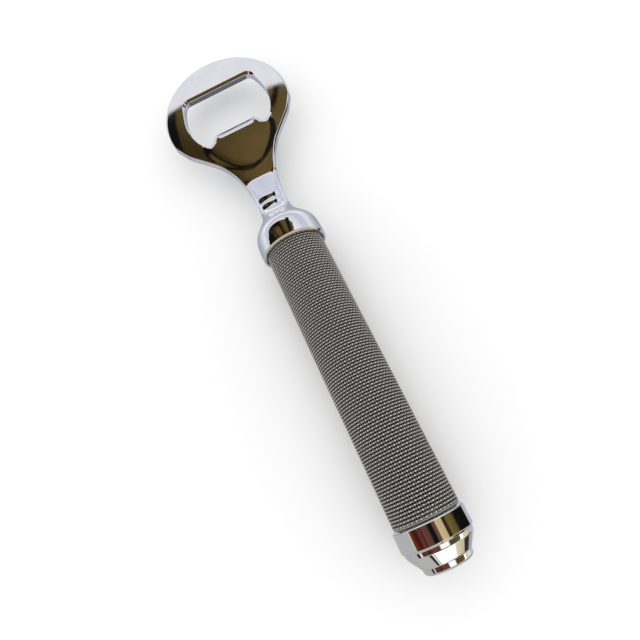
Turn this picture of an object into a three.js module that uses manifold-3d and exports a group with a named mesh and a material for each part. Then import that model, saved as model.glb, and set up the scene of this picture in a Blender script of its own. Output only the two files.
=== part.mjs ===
// A bottle opener with a woven-wire grip, as the assembly that it comes apart into.
// Millimetres, +Z up. The handle's axis runs along X, with the ring head at -X and the screwed end cap
// at +X, and the head lies flat in the XY plane. The origin is under the middle of the object, on the
// surface that it lies on.
import * as THREE from "three";
import { mergeVertices } from "three/addons/utils/BufferGeometryUtils.js";
import Module from "manifold-3d";

const wasm = await Module();
wasm.setup();

// Driving dimensions
const headReach = 67; // top of the ring to the top of the collar
const collarLength = 14.8;
const gripLength = 82.1; // woven grip between collar and cap
const capLength = 11.1;
const gripRadius = 9;
const collarRadius = 10.2;
const capRadius = 9.45;
const ringLong = 22.5; // half the ring head along the handle
const ringWide = 22; // half the ring head across the handle
const plateThickness = 3;
const edgeChamfer = 0.5;
const slotLip = -10.9; // the slot's straight lip, from the ring's centre
const toothTip = 7.7;
const toothHalf = 6.3; // half the tooth across the handle
const padRise = 0.3; // the pad behind the tooth, above each face
const neckRadius = 4.5;
const footRadius = 5.2;
const shankRadius = 4;
const rodRadius = 2.5; // M5 tie rod
const meshThickness = 0.9;
const tubeThickness = 0.7;
const clearance = 0.3; // between pieces that touch

const roundSides = 56; // facets round the parts that show
const hiddenSides = 24; // facets round the parts inside

// Places along the axis
const total = headReach + collarLength + gripLength + capLength;
const headTop = -total / 2;
const ringCentre = headTop + ringLong;
const collarTop = headTop + headReach;
const collarRim = collarTop + collarLength;
const capRim = collarRim + gripLength;

// Radii of the nested sleeves, from the mesh inwards
const meshBore = gripRadius - meshThickness;
const linerRadius = meshBore - clearance;
const linerBore = linerRadius - 0.3;
const tubeRadius = linerBore - clearance;
const tubeBore = tubeRadius - tubeThickness;
const bushRadius = tubeBore - clearance;
const rodBore = rodRadius + clearance;

const solidOf = (geometry) => {
  const bare = geometry.clone();
  bare.deleteAttribute("normal");
  bare.deleteAttribute("uv");
  const merged = mergeVertices(bare, 1e-4);
  return new wasm.Manifold(
    new wasm.Mesh({
      numProp: 3,
      vertProperties: new Float32Array(merged.attributes.position.array),
      triVerts: new Uint32Array(merged.index.array),
    }),
  );
};

const geometryOf = (solid) => {
  const { vertProperties, triVerts } = solid.getMesh();
  const geometry = new THREE.BufferGeometry();
  geometry.setAttribute("position", new THREE.BufferAttribute(vertProperties, 3));
  geometry.setIndex(new THREE.BufferAttribute(triVerts, 1));
  geometry.computeVertexNormals();
  return geometry;
};

const union = (...geometries) =>
  geometryOf(geometries.map(solidOf).reduce((sum, next) => sum.add(next)));
const cut = (geometry, ...tools) =>
  geometryOf(tools.map(solidOf).reduce((rest, tool) => rest.subtract(tool), solidOf(geometry)));

// A shape turned about the X axis, from [x, radius] pairs that run towards +X along the outside.
function turned(profile, sides = roundSides) {
  const points = profile.map(([x, radius]) => new THREE.Vector2(radius, x));
  if (profile[0][1] > 0) points.push(points[0].clone());
  return new THREE.LatheGeometry(points, sides).rotateZ(-Math.PI / 2);
}

const rod = (length, radius, sides = hiddenSides) =>
  turned([[0, 0], [0, radius], [length, radius], [length, 0]], sides);

const ring = (length, outer, inner, sides = hiddenSides) =>
  turned([[0, outer], [length, outer], [length, inner], [0, inner]], sides);

// A flat shape drawn in the YZ plane and pushed along +X.
function pushed(shape, length, curveSegments = 12) {
  const geometry = new THREE.ExtrudeGeometry(shape, { depth: length, bevelEnabled: false, curveSegments });
  const y = new THREE.Vector3(0, 1, 0);
  const z = new THREE.Vector3(0, 0, 1);
  const x = new THREE.Vector3(1, 0, 0);
  return geometry.applyMatrix4(new THREE.Matrix4().makeBasis(y, z, x));
}

// A flat plate in the XY plane, centred on z = 0, with every edge chamfered inwards.
function plate(shape, thickness, chamferHigh, chamferWide, steps) {
  const depth = thickness - 2 * chamferHigh;
  return new THREE.ExtrudeGeometry(shape, {
    depth,
    bevelThickness: chamferHigh,
    bevelSize: chamferWide,
    bevelOffset: -chamferWide,
    bevelSegments: steps,
  }).translate(0, 0, -depth / 2);
}

// A skin over sections across the X axis, each a superellipse, from [x, half width, half height, power].
function loft(sections, sides) {
  const positions = [];
  const signedPower = (value, power) => Math.sign(value) * Math.abs(value) ** (2 / power);
  for (const [x, wide, high, power] of sections)
    for (let i = 0; i < sides; i++) {
      const angle = (2 * Math.PI * (i + 0.5)) / sides;
      positions.push(x, wide * signedPower(Math.cos(angle), power), high * signedPower(Math.sin(angle), power));
    }
  const first = positions.length / 3;
  positions.push(sections[0][0], 0, 0, sections.at(-1)[0], 0, 0);
  const faces = [];
  const lastRing = (sections.length - 1) * sides;
  for (let i = 0; i < sides; i++) {
    const next = (i + 1) % sides;
    for (let k = 0; k < lastRing; k += sides) {
      faces.push(k + i, k + next, k + sides + i);
      faces.push(k + next, k + sides + next, k + sides + i);
    }
    faces.push(first, next, i, first + 1, lastRing + i, lastRing + next);
  }
  const geometry = new THREE.BufferGeometry();
  geometry.setAttribute("position", new THREE.Float32BufferAttribute(positions, 3));
  return geometry.setIndex(faces);
}

const points = (pairs) => pairs.map(([x, y]) => new THREE.Vector2(x, y));
const spline = (pairs, count) => new THREE.SplineCurve(points(pairs)).getPoints(count);
const mirrored = (half) => half.map(({ x, y }) => new THREE.Vector2(x, -y)).reverse();

// The ring head's outline: a slightly long ellipse whose shoulders run in to the neck.
function headShape() {
  const shoulderAngle = THREE.MathUtils.degToRad(76);
  const shoulder = [
    [ringLong * Math.cos(shoulderAngle), ringWide * Math.sin(shoulderAngle)],
    [10.8, 18.3], [14.8, 14.8], [19.4, 10.8], [26.5, 6.9], [31, 4.6],
  ];
  const arc = new THREE.EllipseCurve(0, 0, ringLong, ringWide, shoulderAngle, Math.PI);
  const half = [...spline(shoulder, 18).reverse(), ...arc.getPoints(20).slice(1)];
  return new THREE.Shape([...half, ...mirrored(half.slice(0, -1))]);
}

// The slot: a straight lip across the top, bulging ends, and two round lobes beside the tooth.
function slotPath() {
  const half = [
    ...points([[toothTip, toothHalf], [8.4, 7.1]]),
    ...spline([[10.3, 8.4], [11, 9.9], [10.2, 11.6], [7.7, 13.3], [3.6, 14.6], [-0.8, 14.9],
      [-5.4, 14.2], [-9, 13]], 20),
    ...points([[-10.5, 12.2], [slotLip, 11.2]]),
  ];
  return new THREE.Path([...half, ...mirrored(half)]);
}

// The tooth's slanted front, cut from the top face: a wedge across the tooth.
function toothBevel() {
  const face = plateThickness / 2 + padRise;
  const corner = points([[toothTip - 1, face + 1], [toothTip - 1, face - 1.32], [toothTip + 2.8, face + 0.47],
    [toothTip + 2.8, face + 1]]);
  const across = 2 * toothHalf;
  return new THREE.ExtrudeGeometry(new THREE.Shape(corner), { depth: across, bevelEnabled: false })
    .rotateX(Math.PI / 2)
    .translate(0, across / 2, 0);
}

// The thickened pad behind the tooth: straight flanks that end in a shield's curve.
function padShape() {
  const half = [
    ...points([[8.3, 6.2]]),
    ...spline([[12, 9], [14.8, 10.5], [19, 9.2], [23, 5.8], [25.6, 2.6], [26.2, 0]], 14),
  ];
  return new THREE.Shape([...half, ...mirrored(half.slice(0, -1))]);
}

// Ring, pad and neck are one forging with the shank that holds it in the handle.
function openerHead() {
  const outline = headShape();
  outline.holes.push(slotPath());
  const ringPlate = plate(outline, plateThickness, edgeChamfer, edgeChamfer, 2);
  const pad = plate(padShape(), plateThickness + 2 * padRise, padRise + 0.3, 1.3, 1);
  const footStart = collarTop - ringCentre - clearance;
  const flat = plateThickness / 2;
  const neck = loft([
    [21, 9.1, flat - 0.1, 6], [26.5, 6.9, flat, 5], [30.5, 5.8, 1.7, 4.5], [34, 5.1, 2.3, 4],
    [37.5, neckRadius + 0.1, 3, 3.2], [40.5, neckRadius, 3.8, 2.6], [43, 4.8, 4.6, 2.2],
    [footStart, footRadius, footRadius, 2],
  ], 32);
  const shankEnd = 1 - ringCentre;
  const shank = rod(shankEnd - footStart + 1, shankRadius).translate(footStart - 1, 0, 0);
  const pinHole = crossBar(1 + clearance, 2 * bushRadius + 4).translate(pinPlace - ringCentre, 0, 0);
  const bevel = toothBevel();
  const underBevel = toothBevel().rotateX(Math.PI);
  return cut(union(ringPlate, pad, neck, shank), pinHole, bevel, underBevel);
}

// A bar across the handle, along Y.
const crossBar = (radius, length) =>
  new THREE.CylinderGeometry(radius, radius, length, 12);

const pinPlace = -3.5; // along the handle's axis

// A bell that covers the upper end of the grip: a flare, a band, and a bevelled rim.
function collar() {
  const seat = 9; // depth of the collar's web, where the sleeves seat
  return turned([
    [0, footRadius + 0.1], [1.5, 6.1], [3.2, 7.15], [5, 8.35], [6.8, 9.5], [7.6, 9.85], [8.6, 10.02],
    [11.5, collarRadius - 0.03], [12.9, collarRadius], [13.2, collarRadius - 0.06],
    [13.5, collarRadius - 0.22], [collarLength - 0.1, gripRadius + clearance + 0.1],
    [collarLength, gripRadius + clearance],
    [seat, gripRadius + clearance], [seat, shankRadius + clearance], [0, shankRadius + clearance],
  ]);
}

// The stepped end cap: a plain band, a cone and a small button end, bored for its threaded insert.
function endCap() {
  return turned([
    [0, capRadius - 0.3], [0.3, capRadius], [4.8, capRadius], [5.3, capRadius - 0.4], [5.6, 8.75],
    [9.5, 6.6], [9.75, 6.45], [10.6, 6.35], [capLength, 5.8], [capLength, 0],
    [insertStart + insertLength + clearance, 0],
    [insertStart + insertLength + clearance, insertRadius + clearance],
    [insertStart, insertRadius + clearance], [insertStart, recessRadius], [0, recessRadius],
  ]);
}

const recessRadius = linerRadius + 0.2; // seat for the thrust washer in the cap's mouth
const insertStart = 1.2;
const insertLength = 7.6;
const insertRadius = 4.2;

// A top-hat bush: a flange that closes the end of the tube, and a plug inside it.
function upperBush(flange, length, socketDepth) {
  const body = turned([
    [0, linerRadius], [flange, linerRadius], [flange, bushRadius], [length, bushRadius],
    [length, rodBore], [socketDepth, rodBore], [socketDepth, shankRadius + clearance],
    [0, shankRadius + clearance],
  ], 36);
  const pinHole = crossBar(1 + clearance, 2 * bushRadius + 4).translate(pinPlace - upperFlange, 0, 0);
  return cut(body, pinHole);
}

const lowerBush = (flange, length, pocketDepth, pocketRadius) =>
  turned([
    [0, rodBore], [0, bushRadius], [length - flange, bushRadius], [length - flange, linerRadius],
    [length, linerRadius], [length, pocketRadius], [length - pocketDepth, pocketRadius],
    [length - pocketDepth, rodBore],
  ], 36);

// A hexagon nut, width across flats, with a plain bore that stands for its thread.
function hexNut(acrossFlats, height) {
  const shape = new THREE.Shape(
    Array.from({ length: 6 }, (_, i) => {
      const angle = (Math.PI * (2 * i + 1)) / 6;
      const corner = acrossFlats / Math.sqrt(3);
      return new THREE.Vector2(corner * Math.cos(angle), corner * Math.sin(angle));
    }),
  );
  shape.holes.push(new THREE.Path().absarc(0, 0, rodBore, 0, 2 * Math.PI, true));
  return pushed(shape, height);
}

// A spring washer: a ring with a slit.
function splitWasher(outer, inner, thickness) {
  const slit = 0.12; // radians
  const shape = new THREE.Shape().absarc(0, 0, outer, slit, 2 * Math.PI - slit, false);
  shape.absarc(0, 0, inner, 2 * Math.PI - slit, slit, true);
  return pushed(shape, thickness, 14);
}

// A spring pin: a bar rolled from strip, open along its length.
function rollPin(length) {
  const outer = 1;
  const inner = 0.6;
  const slit = 0.35; // radians
  const shape = new THREE.Shape().absarc(0, 0, outer, slit, 2 * Math.PI - slit, false);
  shape.absarc(0, 0, inner, 2 * Math.PI - slit, slit, true);
  const bar = new THREE.ExtrudeGeometry(shape, { depth: length, bevelEnabled: false, curveSegments: 8 });
  return bar.translate(0, 0, -length / 2).rotateX(Math.PI / 2);
}

// Places of the inner pieces along the axis, from the collar towards the cap
const gasketThickness = 1;
const gasketPlace = collarTop + 9 + clearance;
const upperFlange = gasketPlace + gasketThickness + clearance;
const flangeThickness = 2;
const tubeStart = upperFlange + flangeThickness + clearance;
const upperBushLength = 18;
const upperBushEnd = upperFlange + upperBushLength;
const springThickness = 1.2;
const nutHeight = 4;
const upperNutPlace = upperBushEnd + springThickness + 2 * clearance;
const sleeveEnd = capRim - clearance;
const selvageWidth = 0.7;
const upperSelvage = upperFlange;
const upperSelvageWidth = 2.4;
const meshStart = upperSelvage + upperSelvageWidth + clearance;
const meshEnd = sleeveEnd - selvageWidth - clearance;
const lowerBushLength = 18;
const lowerBushEnd = capRim - 0.4;
const lowerBushStart = lowerBushEnd - lowerBushLength;
const tubeEnd = lowerBushEnd - flangeThickness - clearance;
const pocketDepth = 10;
const pocketFloor = lowerBushEnd - pocketDepth;
const flatWasherPlace = pocketFloor + clearance;
const lowerSpringPlace = flatWasherPlace + 1 + clearance;
const lowerNutPlace = lowerSpringPlace + springThickness + clearance;
const rodStart = upperFlange + 12.2;
const rodEnd = capRim + insertStart + insertLength - 0.6;

const finishes = {
  chrome: { color: 0xd6d8de, roughness: 0.06, metalness: 1 },
  wire: { color: 0x8c8680, roughness: 0.38, metalness: 0.9 },
  steel: { color: 0xa9abad, roughness: 0.32, metalness: 0.9 },
  zinc: { color: 0xb9b5a4, roughness: 0.4, metalness: 0.85 },
  brass: { color: 0xc29b4b, roughness: 0.3, metalness: 0.95 },
  black: { color: 0x16171a, roughness: 0.7, metalness: 0 },
  nylon: { color: 0xe6e3d6, roughness: 0.55, metalness: 0 },
};

function piece(name, finish, geometry, x) {
  const mesh = new THREE.Mesh(geometry, new THREE.MeshStandardMaterial(finishes[finish]));
  mesh.name = name;
  mesh.position.x = x;
  return mesh;
}

const handle = new THREE.Group();
handle.position.z = collarRadius;
handle.add(
  piece("opener_head", "chrome", openerHead(), ringCentre),
  piece("collar", "chrome", collar(), collarTop),
  piece("collar_gasket", "black", ring(gasketThickness, gripRadius, shankRadius + 2 * clearance), gasketPlace),
  piece("head_pin", "steel", rollPin(2 * bushRadius - 0.4), pinPlace),
  piece("upper_bush", "zinc", upperBush(flangeThickness, upperBushLength, 11.6), upperFlange),
  piece("upper_spring_washer", "zinc", splitWasher(4.4, rodBore, springThickness), upperBushEnd + clearance),
  piece("upper_lock_nut", "zinc", hexNut(8, nutHeight), upperNutPlace),
  piece("core_tube", "steel", ring(tubeEnd - tubeStart, tubeRadius, tubeBore, 40), tubeStart),
  piece("tube_liner", "black", ring(tubeEnd - tubeStart, linerRadius, linerBore, 40), tubeStart),
  piece("upper_selvage_ring", "wire", ring(upperSelvageWidth, gripRadius, meshBore, 40), upperSelvage),
  piece("mesh_sleeve", "wire", ring(meshEnd - meshStart, gripRadius, meshBore, roundSides), meshStart),
  piece("lower_selvage_ring", "wire", ring(selvageWidth, gripRadius, meshBore, 40), meshEnd + clearance),
  piece("tie_rod", "steel", rod(rodEnd - rodStart, rodRadius), rodStart),
  piece("lower_bush", "zinc", lowerBush(flangeThickness, lowerBushLength, pocketDepth, 5.2), lowerBushStart),
  piece("lower_flat_washer", "zinc", ring(1, 4.9, rodBore), flatWasherPlace),
  piece("lower_spring_washer", "zinc", splitWasher(4.4, rodBore, springThickness), lowerSpringPlace),
  piece("lower_lock_nut", "zinc", hexNut(8, nutHeight), lowerNutPlace),
);

const cap = new THREE.Group();
cap.position.set(capRim, 0, collarRadius);
cap.add(
  piece("thrust_washer", "nylon", ring(1, recessRadius - clearance, rodBore + 0.2, 36), -0.1),
  piece("thread_insert", "brass", ring(insertLength, insertRadius, rodBore), insertStart),
  piece("end_cap", "chrome", endCap(), 0),
);

const opener = new THREE.Group();
opener.add(handle, cap);

export default opener;
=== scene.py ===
# Bottle opener with a woven-wire grip: the fine surfaces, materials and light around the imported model.
import math

import bmesh
import bpy
import numpy as np
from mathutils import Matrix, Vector
from mathutils.geometry import delaunay_2d_cdt


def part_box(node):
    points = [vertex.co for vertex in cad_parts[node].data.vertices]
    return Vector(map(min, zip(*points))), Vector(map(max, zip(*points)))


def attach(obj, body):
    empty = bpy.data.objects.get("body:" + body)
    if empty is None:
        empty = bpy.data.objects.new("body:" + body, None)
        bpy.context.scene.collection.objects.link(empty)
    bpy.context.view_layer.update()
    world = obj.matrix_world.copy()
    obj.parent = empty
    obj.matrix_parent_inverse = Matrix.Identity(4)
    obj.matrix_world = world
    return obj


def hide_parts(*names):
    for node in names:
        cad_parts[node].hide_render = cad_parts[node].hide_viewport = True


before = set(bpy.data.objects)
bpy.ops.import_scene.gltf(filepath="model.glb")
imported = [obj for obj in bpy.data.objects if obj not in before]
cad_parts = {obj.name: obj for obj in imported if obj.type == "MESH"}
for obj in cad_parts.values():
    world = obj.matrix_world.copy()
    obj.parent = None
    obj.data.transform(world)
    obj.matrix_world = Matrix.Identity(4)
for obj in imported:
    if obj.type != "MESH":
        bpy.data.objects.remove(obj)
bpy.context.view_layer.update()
mm = 0.001

# the handle's axis runs along X at this height
collarLow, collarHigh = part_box("collar")
axisHeight = (collarLow.z + collarHigh.z) / 2
gripLow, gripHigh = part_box("mesh_sleeve")
gripRadius = (gripHigh.y - gripLow.y) / 2


def newGroup(name, inputs, outputs):
    group = bpy.data.node_groups.new(name, "ShaderNodeTree")
    for label, kind, value in inputs:
        socket = group.interface.new_socket(name=label, in_out="INPUT", socket_type=kind)
        if value is not None:
            socket.default_value = value
    for label, kind in outputs:
        group.interface.new_socket(name=label, in_out="OUTPUT", socket_type=kind)
    return group, group.nodes.new("NodeGroupInput"), group.nodes.new("NodeGroupOutput")


def addNode(tree, kind, settings=None, values=None):
    # a node with its settings, and each of its inputs given a value or joined to a socket
    node = tree.nodes.new(kind)
    for key, value in (settings or {}).items():
        setattr(node, key, value)
    for key, value in (values or {}).items():
        if isinstance(value, bpy.types.NodeSocket):
            tree.links.new(value, node.inputs[key])
        else:
            node.inputs[key].default_value = value
    return node


def mathNode(tree, operation, *values, clamp=False):
    settings = {"operation": operation, "use_clamp": clamp}
    return addNode(tree, "ShaderNodeMath", settings, dict(enumerate(values))).outputs[0]


def ramp(tree, factor, stops):
    node = tree.nodes.new("ShaderNodeValToRGB")
    elements = node.color_ramp.elements
    while len(elements) < len(stops):
        elements.new(0.5)
    for element, (place, colour) in zip(elements, stops):
        element.position = place
        element.color = (*colour, 1) if len(colour) == 3 else colour
    tree.links.new(factor, node.inputs[0])
    return node.outputs[0]


def addNoise(tree, place, values):
    return addNode(tree, "ShaderNodeTexNoise", None, {"Vector": place, **values}).outputs["Fac"]


def mixColours(tree, factor, first, second, blend="MIX"):
    values = {"Factor": factor}
    for key, value in (("A", first), ("B", second)):
        values[key] = (*value, 1) if isinstance(value, tuple) else value
    node = addNode(tree, "ShaderNodeMix", {"data_type": "RGBA", "blend_type": blend}, values)
    return node.outputs["Result"]


def makePolish():
    # soft unevenness left by the buffing wheel, with hairline scratches
    group, given, result = newGroup(
        "buffedPolish",
        [("Waviness", "NodeSocketFloat", 1.0), ("Hairlines", "NodeSocketFloat", 1.0)],
        [("Height", "NodeSocketFloat"), ("Smudge", "NodeSocketFloat")],
    )
    links = group.links
    place = addNode(group, "ShaderNodeTexCoord").outputs["Object"]
    broad = addNoise(group, place, {"Scale": 95.0, "Detail": 1.5, "Roughness": 0.4})
    stretched = addNode(group, "ShaderNodeMapping", None, {"Vector": place, "Scale": (0.5, 14.0, 14.0)})
    hair = addNoise(group, stretched.outputs[0], {"Scale": 900.0, "Detail": 3.0})
    smudge = addNoise(group, place, {"Scale": 160.0, "Detail": 5.0, "Roughness": 0.6})
    low = mathNode(group, "MULTIPLY", broad, given.outputs["Waviness"])
    fine = mathNode(group, "MULTIPLY", hair, given.outputs["Hairlines"])
    fine = mathNode(group, "MULTIPLY", fine, 0.012)
    links.new(mathNode(group, "ADD", low, fine), result.inputs["Height"])
    links.new(smudge, result.inputs["Smudge"])
    return group


def makeWear():
    # fine grain and darker blotches at random, shared by the dull metals
    group, given, result = newGroup(
        "metalGrain",
        [("Scale", "NodeSocketFloat", 800.0), ("Depth", "NodeSocketFloat", 0.5),
         ("Light", "NodeSocketColor", (0.6, 0.6, 0.6, 1)), ("Dark", "NodeSocketColor", (0.3, 0.3, 0.3, 1))],
        [("Color", "NodeSocketColor"), ("Grain", "NodeSocketFloat")],
    )
    links = group.links
    place = addNode(group, "ShaderNodeTexCoord").outputs["Object"]
    grain = addNoise(group, place, {"Scale": given.outputs["Scale"], "Detail": 4.0, "Roughness": 0.65})
    blotch = addNoise(group, place, {"Scale": 140.0, "Detail": 3.0})
    amount = mathNode(group, "MULTIPLY", blotch, given.outputs["Depth"], clamp=True)
    mix = mixColours(group, amount, given.outputs["Light"], given.outputs["Dark"])
    links.new(mix, result.inputs["Color"])
    links.new(grain, result.inputs["Grain"])
    return group


polishGroup = makePolish()
grainGroup = makeWear()


def newMaterial(name, fixed):
    material = bpy.data.materials.new(name)
    material.use_nodes = True
    shader = material.node_tree.nodes["Principled BSDF"]
    for key, value in fixed.items():
        shader.inputs[key].default_value = value
    return material, material.node_tree, shader


def useGroup(tree, group, values):
    return addNode(tree, "ShaderNodeGroup", {"node_tree": group}, values)


def addBump(tree, shader, height, distance, strength=1.0):
    values = {"Height": height, "Distance": distance, "Strength": strength}
    bump = addNode(tree, "ShaderNodeBump", None, values)
    tree.links.new(bump.outputs[0], shader.inputs["Normal"])


def spread(tree, factor, low, high):
    values = {"Value": factor, "To Min": low, "To Max": high}
    return addNode(tree, "ShaderNodeMapRange", None, values).outputs[0]


def makeChrome(name, waviness):
    material, tree, shader = newMaterial(name, {"Metallic": 1.0})
    polish = useGroup(tree, polishGroup, {"Waviness": waviness, "Hairlines": 1.0})
    tint = ramp(tree, polish.outputs["Smudge"], [(0.3, (0.80, 0.81, 0.85)), (0.75, (0.88, 0.88, 0.90))])
    tree.links.new(tint, shader.inputs["Base Color"])
    tree.links.new(spread(tree, polish.outputs["Smudge"], 0.01, 0.045), shader.inputs["Roughness"])
    addBump(tree, shader, polish.outputs["Height"], 0.00004)
    return material


def makeDullMetal(name, light, dark, roughness, grainScale=900.0, depth=0.6, bump=0.00002):
    material, tree, shader = newMaterial(name, {"Metallic": 1.0})
    values = {"Scale": grainScale, "Depth": depth, "Light": (*light, 1), "Dark": (*dark, 1)}
    grain = useGroup(tree, grainGroup, values)
    tree.links.new(grain.outputs["Color"], shader.inputs["Base Color"])
    tree.links.new(spread(tree, grain.outputs["Grain"], *roughness), shader.inputs["Roughness"])
    addBump(tree, shader, grain.outputs["Grain"], bump)
    return material


def makeWire(name, crown):
    # stainless wire: its colour is set by depth in the weave, bright on the crowns and darkening to near
    # black down in the pits, which is painted shade
    look = {"pitShade": (0.006, 0.006, 0.005), "low": (0.022, 0.019, 0.017), "shade": 0.37,
            "dust": (0.72, 0.70, 0.69, 1), "depth": 0.6 * mm}
    material, tree, shader = newMaterial(name, {"Metallic": 0.45})
    links = tree.links
    place = addNode(tree, "ShaderNodeTexCoord").outputs["Object"]
    centred = addNode(tree, "ShaderNodeMapping", None,
                      {"Vector": place, "Location": (0, 0, -axisHeight), "Scale": (0, 1, 1)})
    radius = addNode(tree, "ShaderNodeVectorMath", {"operation": "LENGTH"}, {0: centred.outputs[0]})
    height = addNode(tree, "ShaderNodeMapRange", None, {
        "Value": radius.outputs["Value"], "From Min": gripRadius - look["depth"],
        "From Max": gripRadius - 0.05 * mm})
    middle = tuple(look["shade"] * c for c in crown)
    # colour by distance from the axis, from near black in the pits up to the bright crowns: painted shade
    # that deepens into the weave
    stops = [(0.0, look["pitShade"]), (0.36, look["low"]), (0.66, middle), (0.93, crown)]
    colour = ramp(tree, height.outputs[0], stops)
    values = {"Scale": 2600.0, "Depth": 0.5, "Light": (1, 1, 1, 1), "Dark": look["dust"]}
    grain = useGroup(tree, grainGroup, values)
    mix = mixColours(tree, 1.0, colour, grain.outputs["Color"], "MULTIPLY")
    links.new(mix, shader.inputs["Base Color"])
    links.new(spread(tree, grain.outputs["Grain"], 0.26, 0.46), shader.inputs["Roughness"])
    addBump(tree, shader, grain.outputs["Grain"], 0.00001)
    return material


def makeSoft(name, light, dark, roughness, grainScale, bump):
    material, tree, shader = newMaterial(name, {"Metallic": 0.0})
    values = {"Scale": grainScale, "Depth": 0.9, "Light": (*light, 1), "Dark": (*dark, 1)}
    grain = useGroup(tree, grainGroup, values)
    tree.links.new(grain.outputs["Color"], shader.inputs["Base Color"])
    tree.links.new(spread(tree, grain.outputs["Grain"], *roughness), shader.inputs["Roughness"])
    addBump(tree, shader, grain.outputs["Grain"], bump)
    return material


headChrome = makeChrome("headChrome", 1.0)
turnedChrome = makeChrome("turnedChrome", 0.5)
wovenWire = makeWire("wovenWire", (1.0, 0.95, 0.90))
# the crosswise wires are given a darker crown colour than the rings: painted shade on the same stainless wire
crossWire = makeWire("crossWire", (0.66, 0.62, 0.58))
plainSteel = makeDullMetal("plainSteel", (0.62, 0.62, 0.63), (0.42, 0.41, 0.40), (0.22, 0.42))
zincPlate = makeDullMetal("zincPlate", (0.70, 0.69, 0.62), (0.50, 0.50, 0.50), (0.25, 0.45), 700.0)
insertBrass = makeDullMetal("insertBrass", (0.80, 0.60, 0.27), (0.52, 0.36, 0.14), (0.2, 0.38))
blackRubber = makeSoft("blackRubber", (0.018, 0.018, 0.02), (0.006, 0.006, 0.007), (0.55, 0.8),
                       1400.0, 0.00003)
whiteNylon = makeSoft("whiteNylon", (0.82, 0.80, 0.73), (0.72, 0.69, 0.60), (0.4, 0.6), 500.0, 0.00002)
print("materials made")


def addPiece(name, verts, faces, node, body, material, smoothAngle=35):
    mesh = bpy.data.meshes.new(name)
    mesh.from_pydata([tuple(v) for v in verts], [], faces)
    mesh.validate()
    obj = bpy.data.objects.new(name, mesh)
    bpy.context.scene.collection.objects.link(obj)
    return finishPiece(obj, node, body, material, smoothAngle)


def finishPiece(obj, node, body, material, smoothAngle=35):
    mesh = obj.data
    mesh.materials.clear()
    mesh.materials.append(material)
    mesh.shade_smooth()
    mesh.set_sharp_from_angle(angle=math.radians(smoothAngle))
    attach(obj, body)
    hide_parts(*node.split())
    return obj


def weld(obj, distance=0.003 * mm):
    # doubles merged and every face turned outwards
    bm = bmesh.new()
    bm.from_mesh(obj.data)
    bmesh.ops.remove_doubles(bm, verts=bm.verts, dist=distance)
    bmesh.ops.recalc_face_normals(bm, faces=bm.faces)
    bm.to_mesh(obj.data)
    bm.free()
    return obj


def rounded(profile, closed, steps=5, support=0.05):
    # corners of an [x, radius, fillet] outline turned into arcs, with a point each side to keep flats flat
    result = []
    count = len(profile)
    for i, (x, r, fillet) in enumerate(profile):
        if fillet == 0 or (not closed and i in (0, count - 1)):
            result.append((x, r))
            continue
        here = Vector((x, r))
        before = Vector(profile[i - 1][:2]) - here
        after = Vector(profile[(i + 1) % count][:2]) - here
        half = before.angle(after) / 2
        reach = min(fillet / math.tan(half), before.length * 0.45, after.length * 0.45)
        radius = reach * math.tan(half)
        start, end = here + before.normalized() * reach, here + after.normalized() * reach
        centre = here + (before.normalized() + after.normalized()).normalized() * (radius / math.sin(half))
        a, b = start - centre, end - centre
        sweep = a.angle(b)
        pad = min(support, 0.2 * min(before.length, after.length))
        result.append(tuple(start + before.normalized() * min(pad, before.length * 0.5 - reach)))
        for k in range(steps + 1):
            t = k / steps
            p = centre + (a * math.sin((1 - t) * sweep) + b * math.sin(t * sweep)) / math.sin(sweep)
            result.append(tuple(p))
        result.append(tuple(end + after.normalized() * min(pad, after.length * 0.5 - reach)))
    return result


def lathe(points, closed, sides, start, hexAcross=None, gap=0.0):
    # turned about the handle's axis, millimetres along X from the start; the outside runs towards +X,
    # cut to a hexagon if it has a width across flats, and left open by the gap's angle
    verts, faces, rings = [], [], []
    turn = 2 * math.pi if gap == 0 else (2 * math.pi - gap) * sides / (sides - 1)
    for x, r in points:
        if r < 1e-6:
            rings.append([len(verts)])
            verts.append((start + x * mm, 0, axisHeight))
            continue
        rings.append(list(range(len(verts), len(verts) + sides)))
        for i in range(sides):
            angle = gap / 2 + turn * i / sides
            reach = r
            if hexAcross:
                reach = min(r, hexAcross / 2 / math.cos(angle % (math.pi / 3) - math.pi / 6))
            y, z = reach * mm * math.cos(angle), reach * mm * math.sin(angle)
            verts.append((start + x * mm, y, axisHeight + z))
    pairs = list(zip(rings, rings[1:])) + ([(rings[-1], rings[0])] if closed else [])
    for low, high in pairs:
        for i in range(sides if gap == 0 else sides - 1):
            j = (i + 1) % sides
            if len(low) == 1:
                faces.append((low[0], high[j], high[i]))
            elif len(high) == 1:
                faces.append((low[i], low[j], high[0]))
            else:
                faces.append((low[i], low[j], high[j], high[i]))
    if gap:
        faces.append(tuple(ring[0] for ring in rings))
        faces.append(tuple(ring[-1] for ring in rings[::-1]))
    return verts, faces


def turnedPiece(name, node, body, material, profile, sides=96, hexAcross=None, gap=0.0):
    # a closed section turned about the axis, from the low end of its node
    points = rounded(profile, True, 4)
    verts, faces = lathe(points, True, sides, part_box(node)[0].x, hexAcross, gap)
    return addPiece(name, verts, faces, node, body, material)


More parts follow.
